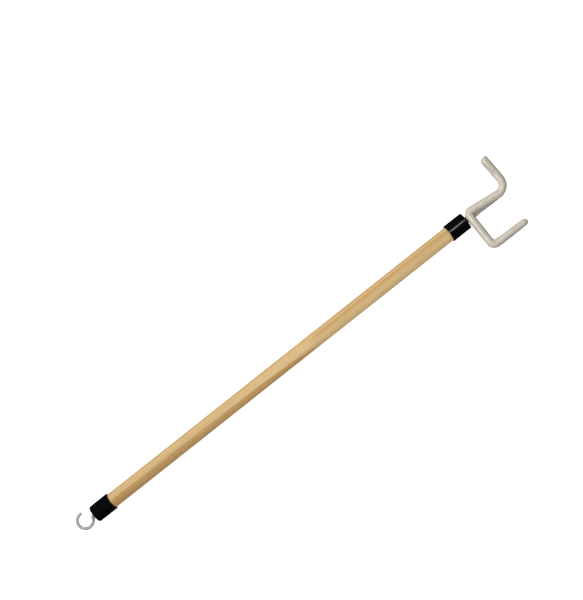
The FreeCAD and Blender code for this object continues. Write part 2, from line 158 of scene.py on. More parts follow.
class Ripple:
    """A smooth random push, mostly between -1 and 1: a few sine waves in seeded directions."""

    WAVES = 14

    def __init__(self, seed, wavelength):
        random = np.random.default_rng(seed)
        ways = random.normal(size=(self.WAVES, 3))
        ways /= np.linalg.norm(ways, axis=1, keepdims=True)
        self.waves = ways * (FULL_TURN / wavelength) / random.uniform(0.6, 1.6, (self.WAVES, 1))
        self.phases = random.uniform(0, FULL_TURN, self.WAVES)

    def __call__(self, points):
        total = np.sin(points @ self.waves.T + self.phases).sum(axis=1)
        return total / math.sqrt(len(self.phases))


def stick_points(piece):
    """A piece's points in the stick's own axes."""
    points = np.array([vertex.co for vertex in piece.data.vertices])
    return (points - np.array(to_row.translation)) @ np.array(to_row.to_3x3())


def note(piece, name, kind, values):
    """Keeps a value for each point of a piece, for its material to read."""
    attribute = piece.data.attributes.new(name, kind, "POINT")
    field = "vector" if kind == "FLOAT_VECTOR" else "value"
    attribute.data.foreach_set(field, values.astype(np.float32).ravel())


def add_piece(name, points, faces, material, slot, *nodes):
    """A piece drawn in the stick's axes, which rides with the stick and stands for the given CAD nodes."""
    turn = np.array(to_row.to_3x3())
    mesh = bpy.data.meshes.new(name)
    mesh.from_pydata(points @ turn.T + np.array(to_row.translation), [], faces)
    tidy = bmesh.new()
    tidy.from_mesh(mesh)
    bmesh.ops.remove_doubles(tidy, verts=tidy.verts, dist=SAME_PLACE)
    bmesh.ops.recalc_face_normals(tidy, faces=tidy.faces)
    tidy.to_mesh(mesh)
    tidy.free()
    mesh.shade_smooth()
    mesh.materials.append(material)
    piece = bpy.data.objects.new(name, mesh)
    bpy.context.scene.collection.objects.link(piece)
    note(piece, "stick_place", "FLOAT_VECTOR", stick_points(piece))
    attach(piece, "root")
    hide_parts(*nodes)
    return piece


def soft_outline(corners, longest, closed):
    """Points round (x, radius, rounding) corners, with arcs at the rounded ones and long runs cut up."""
    points = []
    for place, (x, radius, rounding) in enumerate(corners):
        corner = Vector((x, radius))
        if rounding == 0:
            points.append(corner)
            continue
        back = (Vector(corners[place - 1][:2]) - corner).normalized()
        onward = (Vector(corners[(place + 1) % len(corners)][:2]) - corner).normalized()
        half = back.angle(onward) / 2
        centre = corner + (back + onward).normalized() * (rounding / math.sin(half))
        start = corner + back * (rounding / math.tan(half)) - centre
        turn = (HALF_TURN - 2 * half) * (1 if back.cross(onward) < 0 else -1)
        for step in range(ARC_STEPS + 1):
            points.append(centre + Matrix.Rotation(turn * step / ARC_STEPS, 2) @ start)
    filled = [points[0]]
    for before, point in zip(points, points[1:] + points[:1] if closed else points[1:]):
        pieces = max(1, math.ceil((point - before).length / longest))
        filled += [before.lerp(point, share / pieces) for share in range(1, pieces + 1)]
    return np.array(filled[:-1] if closed else filled)


def grid_faces(rings, sides, closed):
    """Quads between neighbouring rings of points. closed joins the last ring to the first."""
    faces = []
    for ring in range(rings if closed else rings - 1):
        following = (ring + 1) % rings
        for side in range(sides):
            onward = (side + 1) % sides
            corners = ((ring, side), (ring, onward), (following, onward), (following, side))
            faces.append(tuple(row * sides + place for row, place in corners))
    return faces


def round_axis(x, radius, angle):
    """Points about the stick's axis, one to a row."""
    return np.stack((x, radius * np.cos(angle), radius * np.sin(angle)), axis=-1).reshape(-1, 3)


def revolve(outline, sides, closed, shape):
    """Turns an outline about the stick's axis. shape(x, radius, angle) gives each point's x and radius."""
    angles = np.arange(sides) * FULL_TURN / sides
    x, angle = np.meshgrid(outline[:, 0], angles, indexing="ij")
    radius = np.repeat(outline[:, 1:], sides, axis=1)
    x, radius = shape(x, radius, angle)
    return round_axis(x, radius, angle), grid_faces(len(outline), sides, closed)


# ---- materials ----

class Shader:
    """A material under construction. Its nodes are made by short calls that return their output."""

    def __init__(self, name, place=None):
        """place names the attribute that holds the piece's coordinates; without it they are its own."""
        self.material = bpy.data.materials.new(name)
        self.material.use_nodes = True
        self.tree = self.material.node_tree
        self.surface = self.tree.nodes["Principled BSDF"]
        if place:
            self.place = self.add("ShaderNodeAttribute", {"attribute_name": place}).outputs["Vector"]
        else:
            self.place = self.add("ShaderNodeTexCoord").outputs["Object"]

    def add(self, kind, settings=(), **inputs):
        node = self.tree.nodes.new(kind)
        for name, value in dict(settings).items():
            setattr(node, name, value)
        for name, value in inputs.items():
            self.feed(node.inputs[name.replace("_", " ")], value)
        return node

    def feed(self, socket, value):
        if isinstance(value, bpy.types.NodeSocket):
            self.tree.links.new(value, socket)
        else:
            socket.default_value = value

    def set(self, **inputs):
        """Feeds the surface's own sockets, by name with underscores for spaces."""
        for name, value in inputs.items():
            self.feed(self.surface.inputs[name.replace("_", " ")], value)

    def scaled(self, x, y, z):
        """The piece's own coordinates, so many steps to the metre each way."""
        node = self.add("ShaderNodeVectorMath", {"operation": "MULTIPLY"})
        self.feed(node.inputs[0], self.place)
        self.feed(node.inputs[1], (x, y, z))
        return node.outputs[0]

    def noise(self, vector, detail=3.0, roughness=0.5):
        node = self.add("ShaderNodeTexNoise", Vector=vector, Scale=1.0, Detail=detail, Roughness=roughness)
        return node.outputs["Fac"]

    def math(self, operation, first, second=0.0):
        node = self.add("ShaderNodeMath", {"operation": operation})
        self.feed(node.inputs[0], first)
        self.feed(node.inputs[1], second)
        return node.outputs[0]

    def span(self, value, low, high, to_low=0.0, to_high=1.0):
        """Stretches low..high of a value to to_low..to_high, clamped."""
        node = self.add("ShaderNodeMapRange", Value=value)
        names = ("From Min", "From Max", "To Min", "To Max")
        for name, number in zip(names, (low, high, to_low, to_high)):
            self.feed(node.inputs[name], number)
        return node.outputs["Result"]

    def mix(self, factor, first, second):
        node = self.add("ShaderNodeMix", {"data_type": "RGBA"})
        self.feed(node.inputs["Factor"], factor)
        self.feed(node.inputs["A"], first)
        self.feed(node.inputs["B"], second)
        return node.outputs["Result"]

    def attribute(self, name):
        return self.add("ShaderNodeAttribute", {"attribute_name": name}).outputs["Fac"]

    def bump(self, height, distance, strength=1.0):
        node = self.add("ShaderNodeBump", Height=height, Distance=distance, Strength=strength)
        self.set(Normal=node.outputs["Normal"])


def paint(red, green, blue):
    """A colour given as screen values from 0 to 255, in the renderer's linear light."""
    light = []
    for value in (red, green, blue):
        share = value / 255
        light.append(share / 12.92 if share <= 0.04045 else ((share + 0.055) / 1.055) ** 2.4)
    return (*light, 1.0)


# the growth rings' turn about the stick's axis
RING_TURN = math.radians(40)
# the first ring's edge swings across the stick's face: where, over what length, at what depth and how far
SWING_X = 12 * MM
SWING_LENGTH = 67 * MM
FIRST_RING_DEPTH = 8.3 * MM
SWING = 2.4 * MM
# the second ring comes to the surface between these two places along x
SECOND_RING_X = (42 * MM, 60 * MM)
FINE_LINE_SPACING = 2.3 * MM


def growth_rings(shader, x):
    """How strong the dark late wood is at each place, and how strong the fine lines between rings are."""
    drift = shader.noise(shader.scaled(11, 70, 70), detail=3.0)
    across = shader.add("ShaderNodeVectorMath", {"operation": "DOT_PRODUCT"})
    shader.feed(across.inputs[0], shader.place)
    shader.feed(across.inputs[1], (0, -math.cos(RING_TURN), math.sin(RING_TURN)))
    waviness = shader.span(drift, 0.2, 0.8, -0.8 * MM, 0.8 * MM)
    depth = shader.math("ADD", across.outputs["Value"], waviness)

    def late_wood(start, width, share=1.0):
        """A growth ring: dark from a sharp start, paler with depth."""
        into = shader.math("SUBTRACT", depth, start)
        onset = shader.span(into, -0.15 * MM, 0.3 * MM)
        fade = shader.span(into, 0.3 * MM, width, 1.0, 0.0)
        return shader.math("MULTIPLY", shader.math("MULTIPLY", onset, fade), share)

    crossing = shader.math("DIVIDE", shader.math("SUBTRACT", x, SWING_X), SWING_LENGTH)
    swing = shader.math("MULTIPLY", shader.math("TANH", crossing), SWING)
    ragged_x = shader.math("ADD", x, shader.span(drift, 0.3, 0.7, -9 * MM, 9 * MM))
    rings = (
        late_wood(shader.math("ADD", swing, FIRST_RING_DEPTH), 16 * MM),
        late_wood(1.1 * MM, 7 * MM, shader.span(ragged_x, *SECOND_RING_X)),
        late_wood(-7.4 * MM, 4 * MM, 0.6),
        late_wood(-3.2 * MM, 3 * MM, 0.25),
    )
    darkest = 0.0
    for ring in rings:
        darkest = shader.math("MAXIMUM", darkest, ring)
    # the added length keeps the depth above zero, so that the lines repeat evenly
    above_zero = shader.math("ADD", depth, 40 * MM)
    share = shader.math("FRACT", shader.math("DIVIDE", above_zero, FINE_LINE_SPACING))
    fine_line = shader.span(shader.math("ABSOLUTE", shader.math("SUBTRACT", share, 0.5)), 0.3, 0.5)
    return darkest, fine_line


def make_wood():
    """Straight-grained pale dowel stock: growth rings cut at a slant, fine pores, a satin seal."""
    shader = Shader("dowel_wood", "stick_place")
    split = shader.add("ShaderNodeSeparateXYZ", Vector=shader.place)
    late_wood, fine_line = growth_rings(shader, split.outputs["X"])
    streaks = shader.noise(shader.scaled(20, 1300, 1300), detail=4.0, roughness=0.6)
    pores = shader.noise(shader.scaled(75, 3400, 3400), detail=2.0, roughness=0.5)
    blotches = shader.noise(shader.scaled(6, 45, 45), detail=2.0)
    colour = shader.mix(shader.span(blotches, 0.3, 0.7), paint(202, 170, 119), paint(208, 178, 126))
    colour = shader.mix(shader.math("MULTIPLY", late_wood, 0.95), colour, paint(184, 143, 84))
    colour = shader.mix(shader.math("MULTIPLY", fine_line, 0.12), colour, paint(178, 138, 88))
    colour = shader.mix(shader.span(streaks, 0.56, 0.8, 0.0, 0.55), colour, paint(176, 136, 84))
    colour = shader.mix(shader.span(streaks, 0.44, 0.2, 0.0, 0.4), colour, paint(234, 208, 160))
    colour = shader.mix(shader.span(pores, 0.33, 0.26, 0.0, 0.6), colour, paint(140, 100, 58))
    # the side towards the push arm is painted paler: a painted fill light that lifts the shade on that side
    painted_fill_light = shader.add("ShaderNodeVectorMath", {"operation": "SCALE"})
    shader.feed(painted_fill_light.inputs[0], colour)
    shader.feed(painted_fill_light.inputs["Scale"], shader.span(split.outputs["Y"], 1 * MM, -9 * MM, 1.0, 1.42))
    shader.set(Base_Color=painted_fill_light.outputs[0])
    shader.set(Roughness=shader.span(streaks, 0.2, 0.8, 0.52, 0.4))
    shader.set(Coat_Weight=0.1, Coat_Roughness=0.3, Specular_IOR_Level=0.35)
    shader.bump(shader.math("ADD", shader.span(pores, 0.25, 0.4), streaks), 0.05 * MM, 0.5)
    return shader.material


def make_black_vinyl():
    """Glossy black dip-moulded vinyl with a faint orange-peel surface and a few scuffs."""
    shader = Shader("cap_vinyl", "stick_place")
    peel = shader.noise(shader.scaled(420, 420, 420), detail=2.0)
    scuffs = shader.noise(shader.scaled(90, 900, 900), detail=5.0, roughness=0.65)
    dust = shader.noise(shader.scaled(1800, 1800, 1800), detail=1.0)
    worn = shader.span(scuffs, 0.6, 0.8)
    colour = shader.mix(worn, paint(9, 9, 12), paint(26, 25, 28))
    shader.set(Base_Color=shader.mix(shader.span(dust, 0.74, 0.8, 0.0, 0.5), colour, paint(60, 58, 60)))
    shader.set(Roughness=shader.span(scuffs, 0.35, 0.75, 0.16, 0.34))
    shader.set(Specular_IOR_Level=0.45)
    shader.bump(peel, 0.12 * MM, 0.35)
    return shader.material


def make_hook_vinyl():
    """Warm off-white plastisol skin: cloudy colour, a soft gloss, painted shade in its creases, and a darker
    olive tint towards the push arm's tip.
    """
    shader = Shader("hook_vinyl", "stick_place")
    clouds = shader.noise(shader.scaled(90, 90, 90), detail=4.0, roughness=0.6)
    peel = shader.noise(shader.scaled(600, 600, 600), detail=2.0)
    pits = shader.noise(shader.scaled(1500, 1500, 1500), detail=2.0)
    smears = shader.noise(shader.scaled(260, 120, 200), detail=5.0, roughness=0.7)
    colour = shader.mix(shader.span(clouds, 0.3, 0.7), paint(200, 192, 177), paint(214, 207, 193))
    colour = shader.mix(shader.span(smears, 0.52, 0.76, 0.0, 0.6), colour, paint(164, 152, 132))
    # painted shade: the crease attribute darkens the pull arm's crease and the valley between the two skins,
    # where shade falls
    colour = shader.mix(shader.attribute("crease"), colour, paint(112, 101, 84))
    # the push arm is tinted darker and more olive towards its tip
    colour = shader.mix(shader.attribute("darker_tip"), colour, paint(186, 183, 158))
    shader.set(Base_Color=colour)
    shader.set(Roughness=shader.span(smears, 0.3, 0.7, 0.26, 0.42))
    shader.set(Specular_IOR_Level=0.5, Coat_Weight=0.8, Coat_Roughness=0.24)
    shader.bump(shader.math("ADD", peel, shader.math("MULTIPLY", pits, 0.3)), 0.08 * MM, 0.4)
    return shader.material


def make_zinc():
    """Zinc-plated wire: a pale grey satin finish with dull patches and a fine grit."""
    shader = Shader("zinc_plate", "stick_place")
    patches = shader.noise(shader.scaled(260, 260, 260), detail=4.0, roughness=0.6)
    grit = shader.noise(shader.scaled(2600, 2600, 2600), detail=3.0)
    colour = shader.mix(shader.span(patches, 0.35, 0.68), paint(216, 221, 219), paint(190, 195, 193))
    shader.set(Base_Color=colour)
    shader.set(Roughness=shader.span(patches, 0.3, 0.7, 0.3, 0.5))
    shader.set(Metallic=0.3, Specular_IOR_Level=0.5)
    shader.bump(grit, 0.03 * MM, 0.5)
    return shader.material


def make_steel(name, bright, dark, roughness):
    """Hot-rolled steel that the skin hides: blotched scale with fine scratches along the stick."""
    shader = Shader(name)
    scale = shader.noise(shader.scaled(180, 180, 180), detail=5.0, roughness=0.6)
    scratches = shader.noise(shader.scaled(60, 2400, 2400), detail=2.0)
    shader.set(Base_Color=shader.mix(shader.span(scale, 0.35, 0.65), bright, dark))
    shader.set(Roughness=shader.span(scale, 0.3, 0.7, roughness - 0.1, roughness + 0.15))
    shader.set(Metallic=1.0)
    shader.bump(scratches, 0.02 * MM, 0.4)
    return shader.material


# ---- the dowel ----

def make_dowel():
    """The stick, with a blind bore at each end. A cone as deep as the bore's radius closes each bore."""
    shank_floor = dowel_half - SHANK_BORE_DEPTH
    wire_floor = -dowel_half + WIRE_BORE_DEPTH
    end_radius = dowel_radius - DOWEL_CHAMFER
    corners = [
        (shank_floor - SHANK_BORE, 0, 0),
        (shank_floor, SHANK_BORE, 0),
        (dowel_half, SHANK_BORE, 0),
        (dowel_half, end_radius, CHAMFER_END_ROUND),
        (dowel_half - DOWEL_CHAMFER, dowel_radius, CHAMFER_SIDE_ROUND),
        (-dowel_half + DOWEL_CHAMFER, dowel_radius, CHAMFER_SIDE_ROUND),
        (-dowel_half, end_radius, CHAMFER_END_ROUND),
        (-dowel_half, WIRE_BORE, 0),
        (wire_floor, WIRE_BORE, 0),
        (wire_floor + WIRE_BORE, 0, 0),
    ]
    unevenness = Ripple(3, 90 * MM)

    def shape(x, radius, angle):
        """A turned stick is never quite round: its side lies a little under size."""
        wave = unevenness(round_axis(x, radius, angle)).reshape(x.shape)
        return x, np.where(radius > end_radius, radius + (wave - 2) * DOWEL_UNEVENNESS, radius)

    points, faces = revolve(soft_outline(corners, 5 * MM, False), ROUND_SIDES, False, shape)
    add_piece("wood_stick", points, faces, make_wood(), "wood", "dowel")


# ---- the end caps ----

def make_cap(name, node, way, length, end_round, hole_radius, seed, material):
    """A dip-moulded cup: a flared, uneven rim, a body that shrinks onto the wood, a rounded end."""
    end = cap_end * way
    floor = dowel_half * way
    rim = end - length * way
    corners = [
        (rim, dowel_radius, CAP_LIP_ROUND),
        (rim, cap_radius, CAP_RIM_ROUND),
        (end, cap_radius, end_round),
        (end, hole_radius, CAP_LIP_ROUND),
        (floor, hole_radius, CAP_LIP_ROUND),
        (floor, dowel_radius, CAP_INNER_ROUND),
    ]
    unevenness = Ripple(seed, 14 * MM)

    def shape(x, radius, angle):
        wave = unevenness(round_axis(x, radius, angle)).reshape(x.shape)
        from_rim = np.abs(x - rim)
        outside = np.clip((radius - dowel_radius) / (cap_radius - dowel_radius), 0, 1)
        flare = np.exp(-((from_rim / RIM_REACH) ** 2))
        radius = radius - outside * (CAP_SHRINK * (1 - flare) + CAP_UNEVENNESS * (1 + wave) / 2)
        # the rim curves back towards the cap's end on its upper side
        trimmed = RIM_WAVE * (wave + 1) + RIM_DIPS * np.sin(2 * angle + seed)
        trimmed = trimmed + RIM_CURVE * np.clip(np.sin(angle), 0, 1) ** 2
        x = x + way * trimmed * np.exp(-from_rim / RIM_REACH)
        by_hole = np.exp(-(((radius - hole_radius) / DIMPLE_RADIUS) ** 2))
        dimple = by_hole * np.exp(-np.abs(x - end) / DIMPLE_REACH)
        return x - way * DIMPLE * dimple, radius

    points, faces = revolve(soft_outline(corners, 0.7 * MM, True), ROUND_SIDES, True, shape)
    add_piece(name, points, faces, material, "black_vinyl", node)


# ---- the wire hook ----

def arc(centre, radius, start, end, step):
    """Points round an arc in the hooks' plane, without its first one."""
    steps = max(2, math.ceil(abs(end - start) * radius / step))
    angles = np.linspace(start, end, steps + 1)[1:]
    return centre + radius * np.stack((np.cos(angles), np.sin(angles)), axis=1)


def wire_path(step):
    """The wire's middle line: a straight stem, a neck that turns aside, and a ring that turns back."""
    spread = NECK_BEND + RING_RADIUS
    centre = np.array((ring_centre.x, ring_centre.y))
    neck_x = ring_centre.x + math.sqrt(spread**2 - (NECK_BEND + ring_centre.y) ** 2)
    neck_centre = np.array((neck_x, -NECK_BEND))
    meeting = math.atan2(neck_centre[1] - centre[1], neck_centre[0] - centre[0])
    start_x = -dowel_half + THREAD_DEPTH
    stem_steps = math.ceil((start_x - neck_x) / step)
    stem = np.linspace((start_x, 0), (neck_x, 0), stem_steps + 1)
    neck = arc(neck_centre, NECK_BEND, HALF_TURN / 2, meeting + HALF_TURN, step)
    ring = arc(centre, RING_RADIUS, meeting, RING_END_ANGLE - FULL_TURN, step)
    return np.concatenate((stem, neck, ring))


def make_wire_hook():
    """Bent wire with a wood screw cut on its stem and a square-cut end."""
    path = wire_path(0.25 * MM)
    travel = np.concatenate(([0], np.cumsum(np.linalg.norm(np.diff(path, axis=0), axis=1))))
    tangent = np.gradient(path, travel, axis=0)
    tangent /= np.linalg.norm(tangent, axis=1, keepdims=True)
    inward = np.stack((-tangent[:, 1], tangent[:, 0]), axis=1)

    turned = np.arange(WIRE_SIDES) * FULL_TURN / WIRE_SIDES
    ridge_share = (travel[:, None] / THREAD_PITCH - turned / FULL_TURN) % 1
    ridge = np.clip(1 - np.abs(ridge_share - 0.5) / RIDGE_HALF_WIDTH, 0, 1)
    point = np.clip(travel / THREAD_POINT, BLUNT_SHARE, 1)[:, None]
    threaded = (THREAD_ROOT + (THREAD_CREST - THREAD_ROOT) * ridge) * point
    # the thread runs out over its last millimetre
    thread_end = THREAD_DEPTH - PLAIN_LENGTH
    plain = np.clip((travel[:, None] - thread_end) / MM + 1, 0, 1)
    radius = threaded * (1 - plain) + WIRE_RADIUS * plain
    worn = np.clip(1 - (travel[-1] - travel) / WIRE_WORN_EDGE, 0, 1)
    radius = radius - WIRE_WORN_EDGE * worn[:, None] ** 2

    flat_side = np.cos(turned)[None, :, None] * inward[:, None, :]
    middle = path[:, None, :] + radius[:, :, None] * flat_side
    points = np.concatenate((middle, (radius * np.sin(turned))[:, :, None]), axis=2).reshape(-1, 3)
    dents = Ripple(11, 9 * MM)(points) * np.repeat(plain[:, 0] > 0, WIRE_SIDES)
    outward = points - np.repeat(np.column_stack((path, np.zeros(len(path)))), WIRE_SIDES, axis=0)
    outward /= np.linalg.norm(outward, axis=1, keepdims=True)
    points = points + outward * WIRE_DENT * (dents - 1)[:, None]
    faces = grid_faces(len(path), WIRE_SIDES, False)
    last_ring = (len(path) - 1) * WIRE_SIDES
    faces += [tuple(range(WIRE_SIDES)), tuple(range(last_ring, last_ring + WIRE_SIDES))]
    add_piece("wire_hook", points, faces, make_zinc(), "zinc_wire", "c_hook")


# ---- the skin of the push-and-pull hook ----

class BentPath:
    """Straight legs and tangent arcs in the hooks' plane, with x measured from the cap's end."""

    def __init__(self, corners, bends):
        points = [np.array(corner, float) for corner in corners]
        trims = [0.0]
        for before, corner, after, bend in zip(points, points[1:], points[2:], bends):
            back, onward = self.way(corner, before), self.way(corner, after)
            turn = HALF_TURN - math.acos(float(back @ onward))
            trims.append(bend * math.tan(turn / 2))
        trims.append(0.0)
        self.legs = []
        self.arcs = []
        travel = 0.0
        for place, (start, end) in enumerate(zip(points, points[1:])):
            onward = self.way(start, end)
            first = start + onward * trims[place]
            length = float(np.linalg.norm(end - start)) - trims[place] - trims[place + 1]
            self.legs.append((first, onward, length, travel))
            travel += length
            if place < len(bends):
                corner, bend = end, bends[place]
                arc_start = corner - onward * trims[place + 1]
                following = self.way(corner, points[place + 2])
                side = 1 if onward[0] * following[1] - onward[1] * following[0] > 0 else -1
                centre = arc_start + bend * side * np.array((-onward[1], onward[0]))
                turn = HALF_TURN - math.acos(float(-onward @ following))
                self.arcs.append((centre, bend, arc_start - centre, side, turn, travel))
                travel += bend * turn

    @staticmethod
    def way(start, end):
        return (end - start) / np.linalg.norm(end - start)

    def nearest(self, points):
        """Each point's distance from the path, and how far along the path its nearest place is."""
        flat = points[:, :2]
        level = points[:, 2] - rod_lift
        best = np.full(len(points), np.inf)
        place = np.zeros(len(points))

        def keep(distance, travel):
            closer = distance < best
            best[closer] = distance[closer]
            place[closer] = travel[closer]

        for start, onward, length, travel in self.legs:
            reach = np.clip((flat - start) @ onward, 0, length)
            keep(np.linalg.norm(flat - start - reach[:, None] * onward, axis=1), travel + reach)
        for centre, bend, first, side, turn, travel in self.arcs:
            spoke = flat - centre
            angle = side * np.arctan2(first[0] * spoke[:, 1] - first[1] * spoke[:, 0], spoke @ first)
            inside = (angle >= 0) & (angle <= turn)
            distance = np.where(inside, np.abs(np.linalg.norm(spoke, axis=1) - bend), np.inf)
            keep(distance, travel + bend * np.clip(angle, 0, turn))
        return np.hypot(best, level), place


def round_cut(first, second, rounding):
    """The part inside both shapes, with a rounded edge where their surfaces meet."""
    first, second = first + rounding, second + rounding
    corner = np.hypot(np.maximum(first, 0), np.maximum(second, 0))
    return np.minimum(np.maximum(first, second), 0) + corner - rounding


def soft_join(first, second, fillet):
    """Both shapes, with a concave fillet where their surfaces meet."""
    hollow = np.hypot(np.maximum(fillet - first, 0), np.maximum(fillet - second, 0))
    return np.maximum(fillet, np.minimum(first, second)) - hollow


def skin_surface(distance, low, high, step):
    """Points and quads where a distance function is zero, by surface nets on a cubic grid."""
    axes = [np.arange(a, b + step, step) for a, b in zip(low, high)]
    grid = np.stack(np.meshgrid(*axes, indexing="ij"), axis=-1)
    value = distance(grid.reshape(-1, 3)).reshape(grid.shape[:3])
    inside = value < 0
    cells = tuple(size - 1 for size in value.shape)

    def corner(array, offset):
        return array[tuple(slice(o, o + size) for o, size in zip(offset, cells))]

    offsets = list(itertools.product((0, 1), repeat=3))
    filled = sum(corner(inside, offset).astype(int) for offset in offsets)
    mixed = (filled > 0) & (filled < 8)
    total = np.zeros((*cells, 3))
    crossings = np.zeros(cells)
    for offset in offsets:
        for axis in range(3):
            if offset[axis]:
                continue
            other = tuple(o + (place == axis) for place, o in enumerate(offset))
            a, b = corner(value, offset), corner(value, other)
            crossed = (a < 0) != (b < 0)
            share = np.where(crossed, a / np.where(crossed, a - b, 1), 0)
            where = np.array(offset, float) * np.ones((*cells, 3))
            where[..., axis] = share
            total += where * crossed[..., None]
            crossings += crossed
    number = np.full(cells, -1)
    number[mixed] = np.arange(mixed.sum())
    start = np.argwhere(mixed)
    points = np.array(low) + step * (start + total[mixed] / crossings[mixed][:, None])

    faces = []
    for axis in range(3):
        side, other = (axis + 1) % 3, (axis + 2) % 3
        near = np.delete(inside, -1, axis=axis)
        far = np.delete(inside, 0, axis=axis)
        edges = np.argwhere(near != far)
        for turned in (side, other):
            edges = edges[(edges[:, turned] > 0) & (edges[:, turned] < value.shape[turned] - 1)]
        steps = []
        for back_side, back_other in ((0, 0), (1, 0), (1, 1), (0, 1)):
            cell = edges.copy()
            cell[:, side] -= back_side
            cell[:, other] -= back_other
            steps.append(number[tuple(cell.T)])
        quads = np.stack(steps, axis=1)
        outward = inside[tuple(edges.T)]
        quads[outward] = quads[outward][:, ::-1]
        faces.append(quads)

    # each point slides along the slope onto the exact surface, a short way at a time
    nudge = 0.02 * MM
    least_steepness = 0.2
    longest_move = 0.3 * step
    slides = 4
    for _ in range(slides):
        slope = np.empty_like(points)
        for axis, way in enumerate(nudge * np.eye(3)):
            slope[:, axis] = (distance(points + way) - distance(points - way)) / (2 * nudge)
        steepness = np.maximum((slope**2).sum(axis=1), least_steepness)
        move = slope * (distance(points) / steepness)[:, None]
        length = np.linalg.norm(move, axis=1, keepdims=True)
        points = points - move * np.minimum(1, longest_move / np.maximum(length, 1e-12))
    return points, np.concatenate(faces)


def pull_arm_x(y):
    """Where the pull arm's straight axis is, at one distance from the dowel's axis."""
    return PULL_REACH - (y - elbow_y) * math.tan(PULL_LEAN)


class HookSkin:
    """The dipped skin as a distance function: uneven outside, and hollow where the rods run."""

    PUSH_TIP = 7.5 * MM
    # the power of the curve that rounds the push arm's tip: 2 is an ellipse, and more is blunter
    TIP_FULLNESS = 2.4
    # the skin's radius at each place along the rods, from the push arm's tip to the pull arm's
    PLACES = np.array((0, 8, 20, 40, 54, 75, 90, 103, 120, 142, 152, 161, 175, 200)) * MM
    RADII = np.array((4.5, 4.55, 4.75, 5.0, 5.1, 5.0, 5.0, 5.35, 5.25, 5.3, 5.1, 5.2, 5.4, 5.35)) * MM
    # how far the skin leans off the rod, at the push arm's tip and at its bend
    PUSH_TIP_LEAN = -0.3 * MM
    PUSH_BEND_LEAN = 0.55 * MM
    # the pull arm's end is cut at a slant, a little short of its full reach, with a rounded edge
    CUT_SLANT = math.radians(11)
    CUT_SHORT = 0.35 * MM
    CUT_ROUND = 3.4 * MM
    # the shank's skin: its radius at two places along x, its lean to the push arm's side, its rounded end
    SHANK_PLACES = (26 * MM, 37 * MM)
    SHANK_RADII = (4.2 * MM, 4.55 * MM)
    SHANK_LEAN = 0.1 * MM
    SHANK_END_ROUND = 3.2 * MM
    CAP_CLEARANCE = 0.05 * MM
    ROD_CLEARANCE = 0.03 * MM
    FILLET = 1.0 * MM
    # the crease on the pull arm: how far it wanders off the arm's middle, and where it fades, by y
    CREASE_Y = (19 * MM, 40 * MM)
    CREASE_OFFSET = (0.6 * MM, 3.9 * MM)
    CREASE_FADE_Y = (17 * MM, 25 * MM, 39 * MM, 44 * MM)
    CREASE_DEPTH = 0.45 * MM
    CREASE_WIDTH = 0.5 * MM
    WAVE = 0.1 * MM
    FINE_WAVE = 0.03 * MM

    def __init__(self):
        corner = (CROSSBAR_REACH, CORNER_OFFSET)
        elbow = (PULL_REACH, elbow_y)
        bends = (PUSH_BEND, CORNER_BEND, PULL_BEND)
        rod_start = (PUSH_REACH - END_COVER, -PUSH_OFFSET)
        rod_end = (pull_arm_x(PULL_OFFSET - END_COVER), PULL_OFFSET - END_COVER)
        lower_elbow = (CROSSBAR_REACH, -PUSH_OFFSET)
        self.rod = BentPath([rod_start, lower_elbow, corner, elbow, rod_end], bends)
        push_tip = (PUSH_REACH, -PUSH_OFFSET + self.PUSH_TIP_LEAN)
        push_corner = (CROSSBAR_REACH, -PUSH_OFFSET + self.PUSH_BEND_LEAN)
        past_tip = PULL_OFFSET + 12 * MM
        pull_end = (pull_arm_x(past_tip), past_tip)
        self.skin = BentPath([push_tip, push_corner, corner, elbow, pull_end], bends)
        self.cut_way = np.array((-math.sin(self.CUT_SLANT), math.cos(self.CUT_SLANT), 0))
        self.cut_place = np.array((pull_arm_x(PULL_OFFSET), PULL_OFFSET - self.CUT_SHORT, rod_lift))
        self.thickness = Ripple(5, 11 * MM)
        self.fine = Ripple(8, 3.5 * MM)

    def crease(self, points):
        """How near each point is to the fold that a drip left down the front of the pull arm."""
        y = points[:, 1]
        line = pull_arm_x(y) - np.interp(y, self.CREASE_Y, self.CREASE_OFFSET)
        fade = np.interp(y, self.CREASE_FADE_Y, (0, 1, 1, 0))
        front = np.clip((points[:, 2] - rod_lift) / MM, 0, 1)
        return np.exp(-(((points[:, 0] - line) / self.CREASE_WIDTH) ** 2)) * fade * front

    def rods_skin(self, points):
        distance, place = self.skin.nearest(points)
        radius = np.interp(place, self.PLACES, self.RADII)
        bullet = np.clip(place / self.PUSH_TIP, 0, 1)
        radius = radius * (1 - (1 - bullet) ** self.TIP_FULLNESS) ** (1 / self.TIP_FULLNESS)
        return round_cut(distance - radius, (points - self.cut_place) @ self.cut_way, self.CUT_ROUND)

    def shank_skin(self, points):
        radius = np.interp(points[:, 0], self.SHANK_PLACES, self.SHANK_RADII)
        tube = np.hypot(points[:, 1] + self.SHANK_LEAN, points[:, 2]) - radius
        capped = round_cut(tube, points[:, 0] - SHANK_REACH - END_COVER, self.SHANK_END_ROUND)
        return np.maximum(capped, self.CAP_CLEARANCE - points[:, 0])

    def hollow(self, points):
        """Where the bent rod and the shank run. They stop a little short of the skin's ends."""
        distance, _ = self.rod.nearest(points)
        rod = distance - ROD_RADIUS - self.ROD_CLEARANCE
        rod = np.maximum(rod, points[:, 1] - PULL_OFFSET + END_COVER)
        by_push = points[:, 1] < -PUSH_OFFSET / 2
        past_push_end = points[:, 0] - PUSH_REACH + END_COVER
        rod = np.where(by_push, np.maximum(rod, past_push_end), rod)
        shank = np.hypot(points[:, 1], points[:, 2]) - ROD_RADIUS - self.ROD_CLEARANCE
        shank = np.maximum(shank, points[:, 0] - SHANK_REACH)
        return np.minimum(rod, shank)

    def parts(self, points):
        """The distance to the rods' skin and to the shank's, waves and all."""
        waves = self.WAVE * self.thickness(points) + self.FINE_WAVE * self.fine(points)
        return self.rods_skin(points) - waves, self.shank_skin(points) - waves

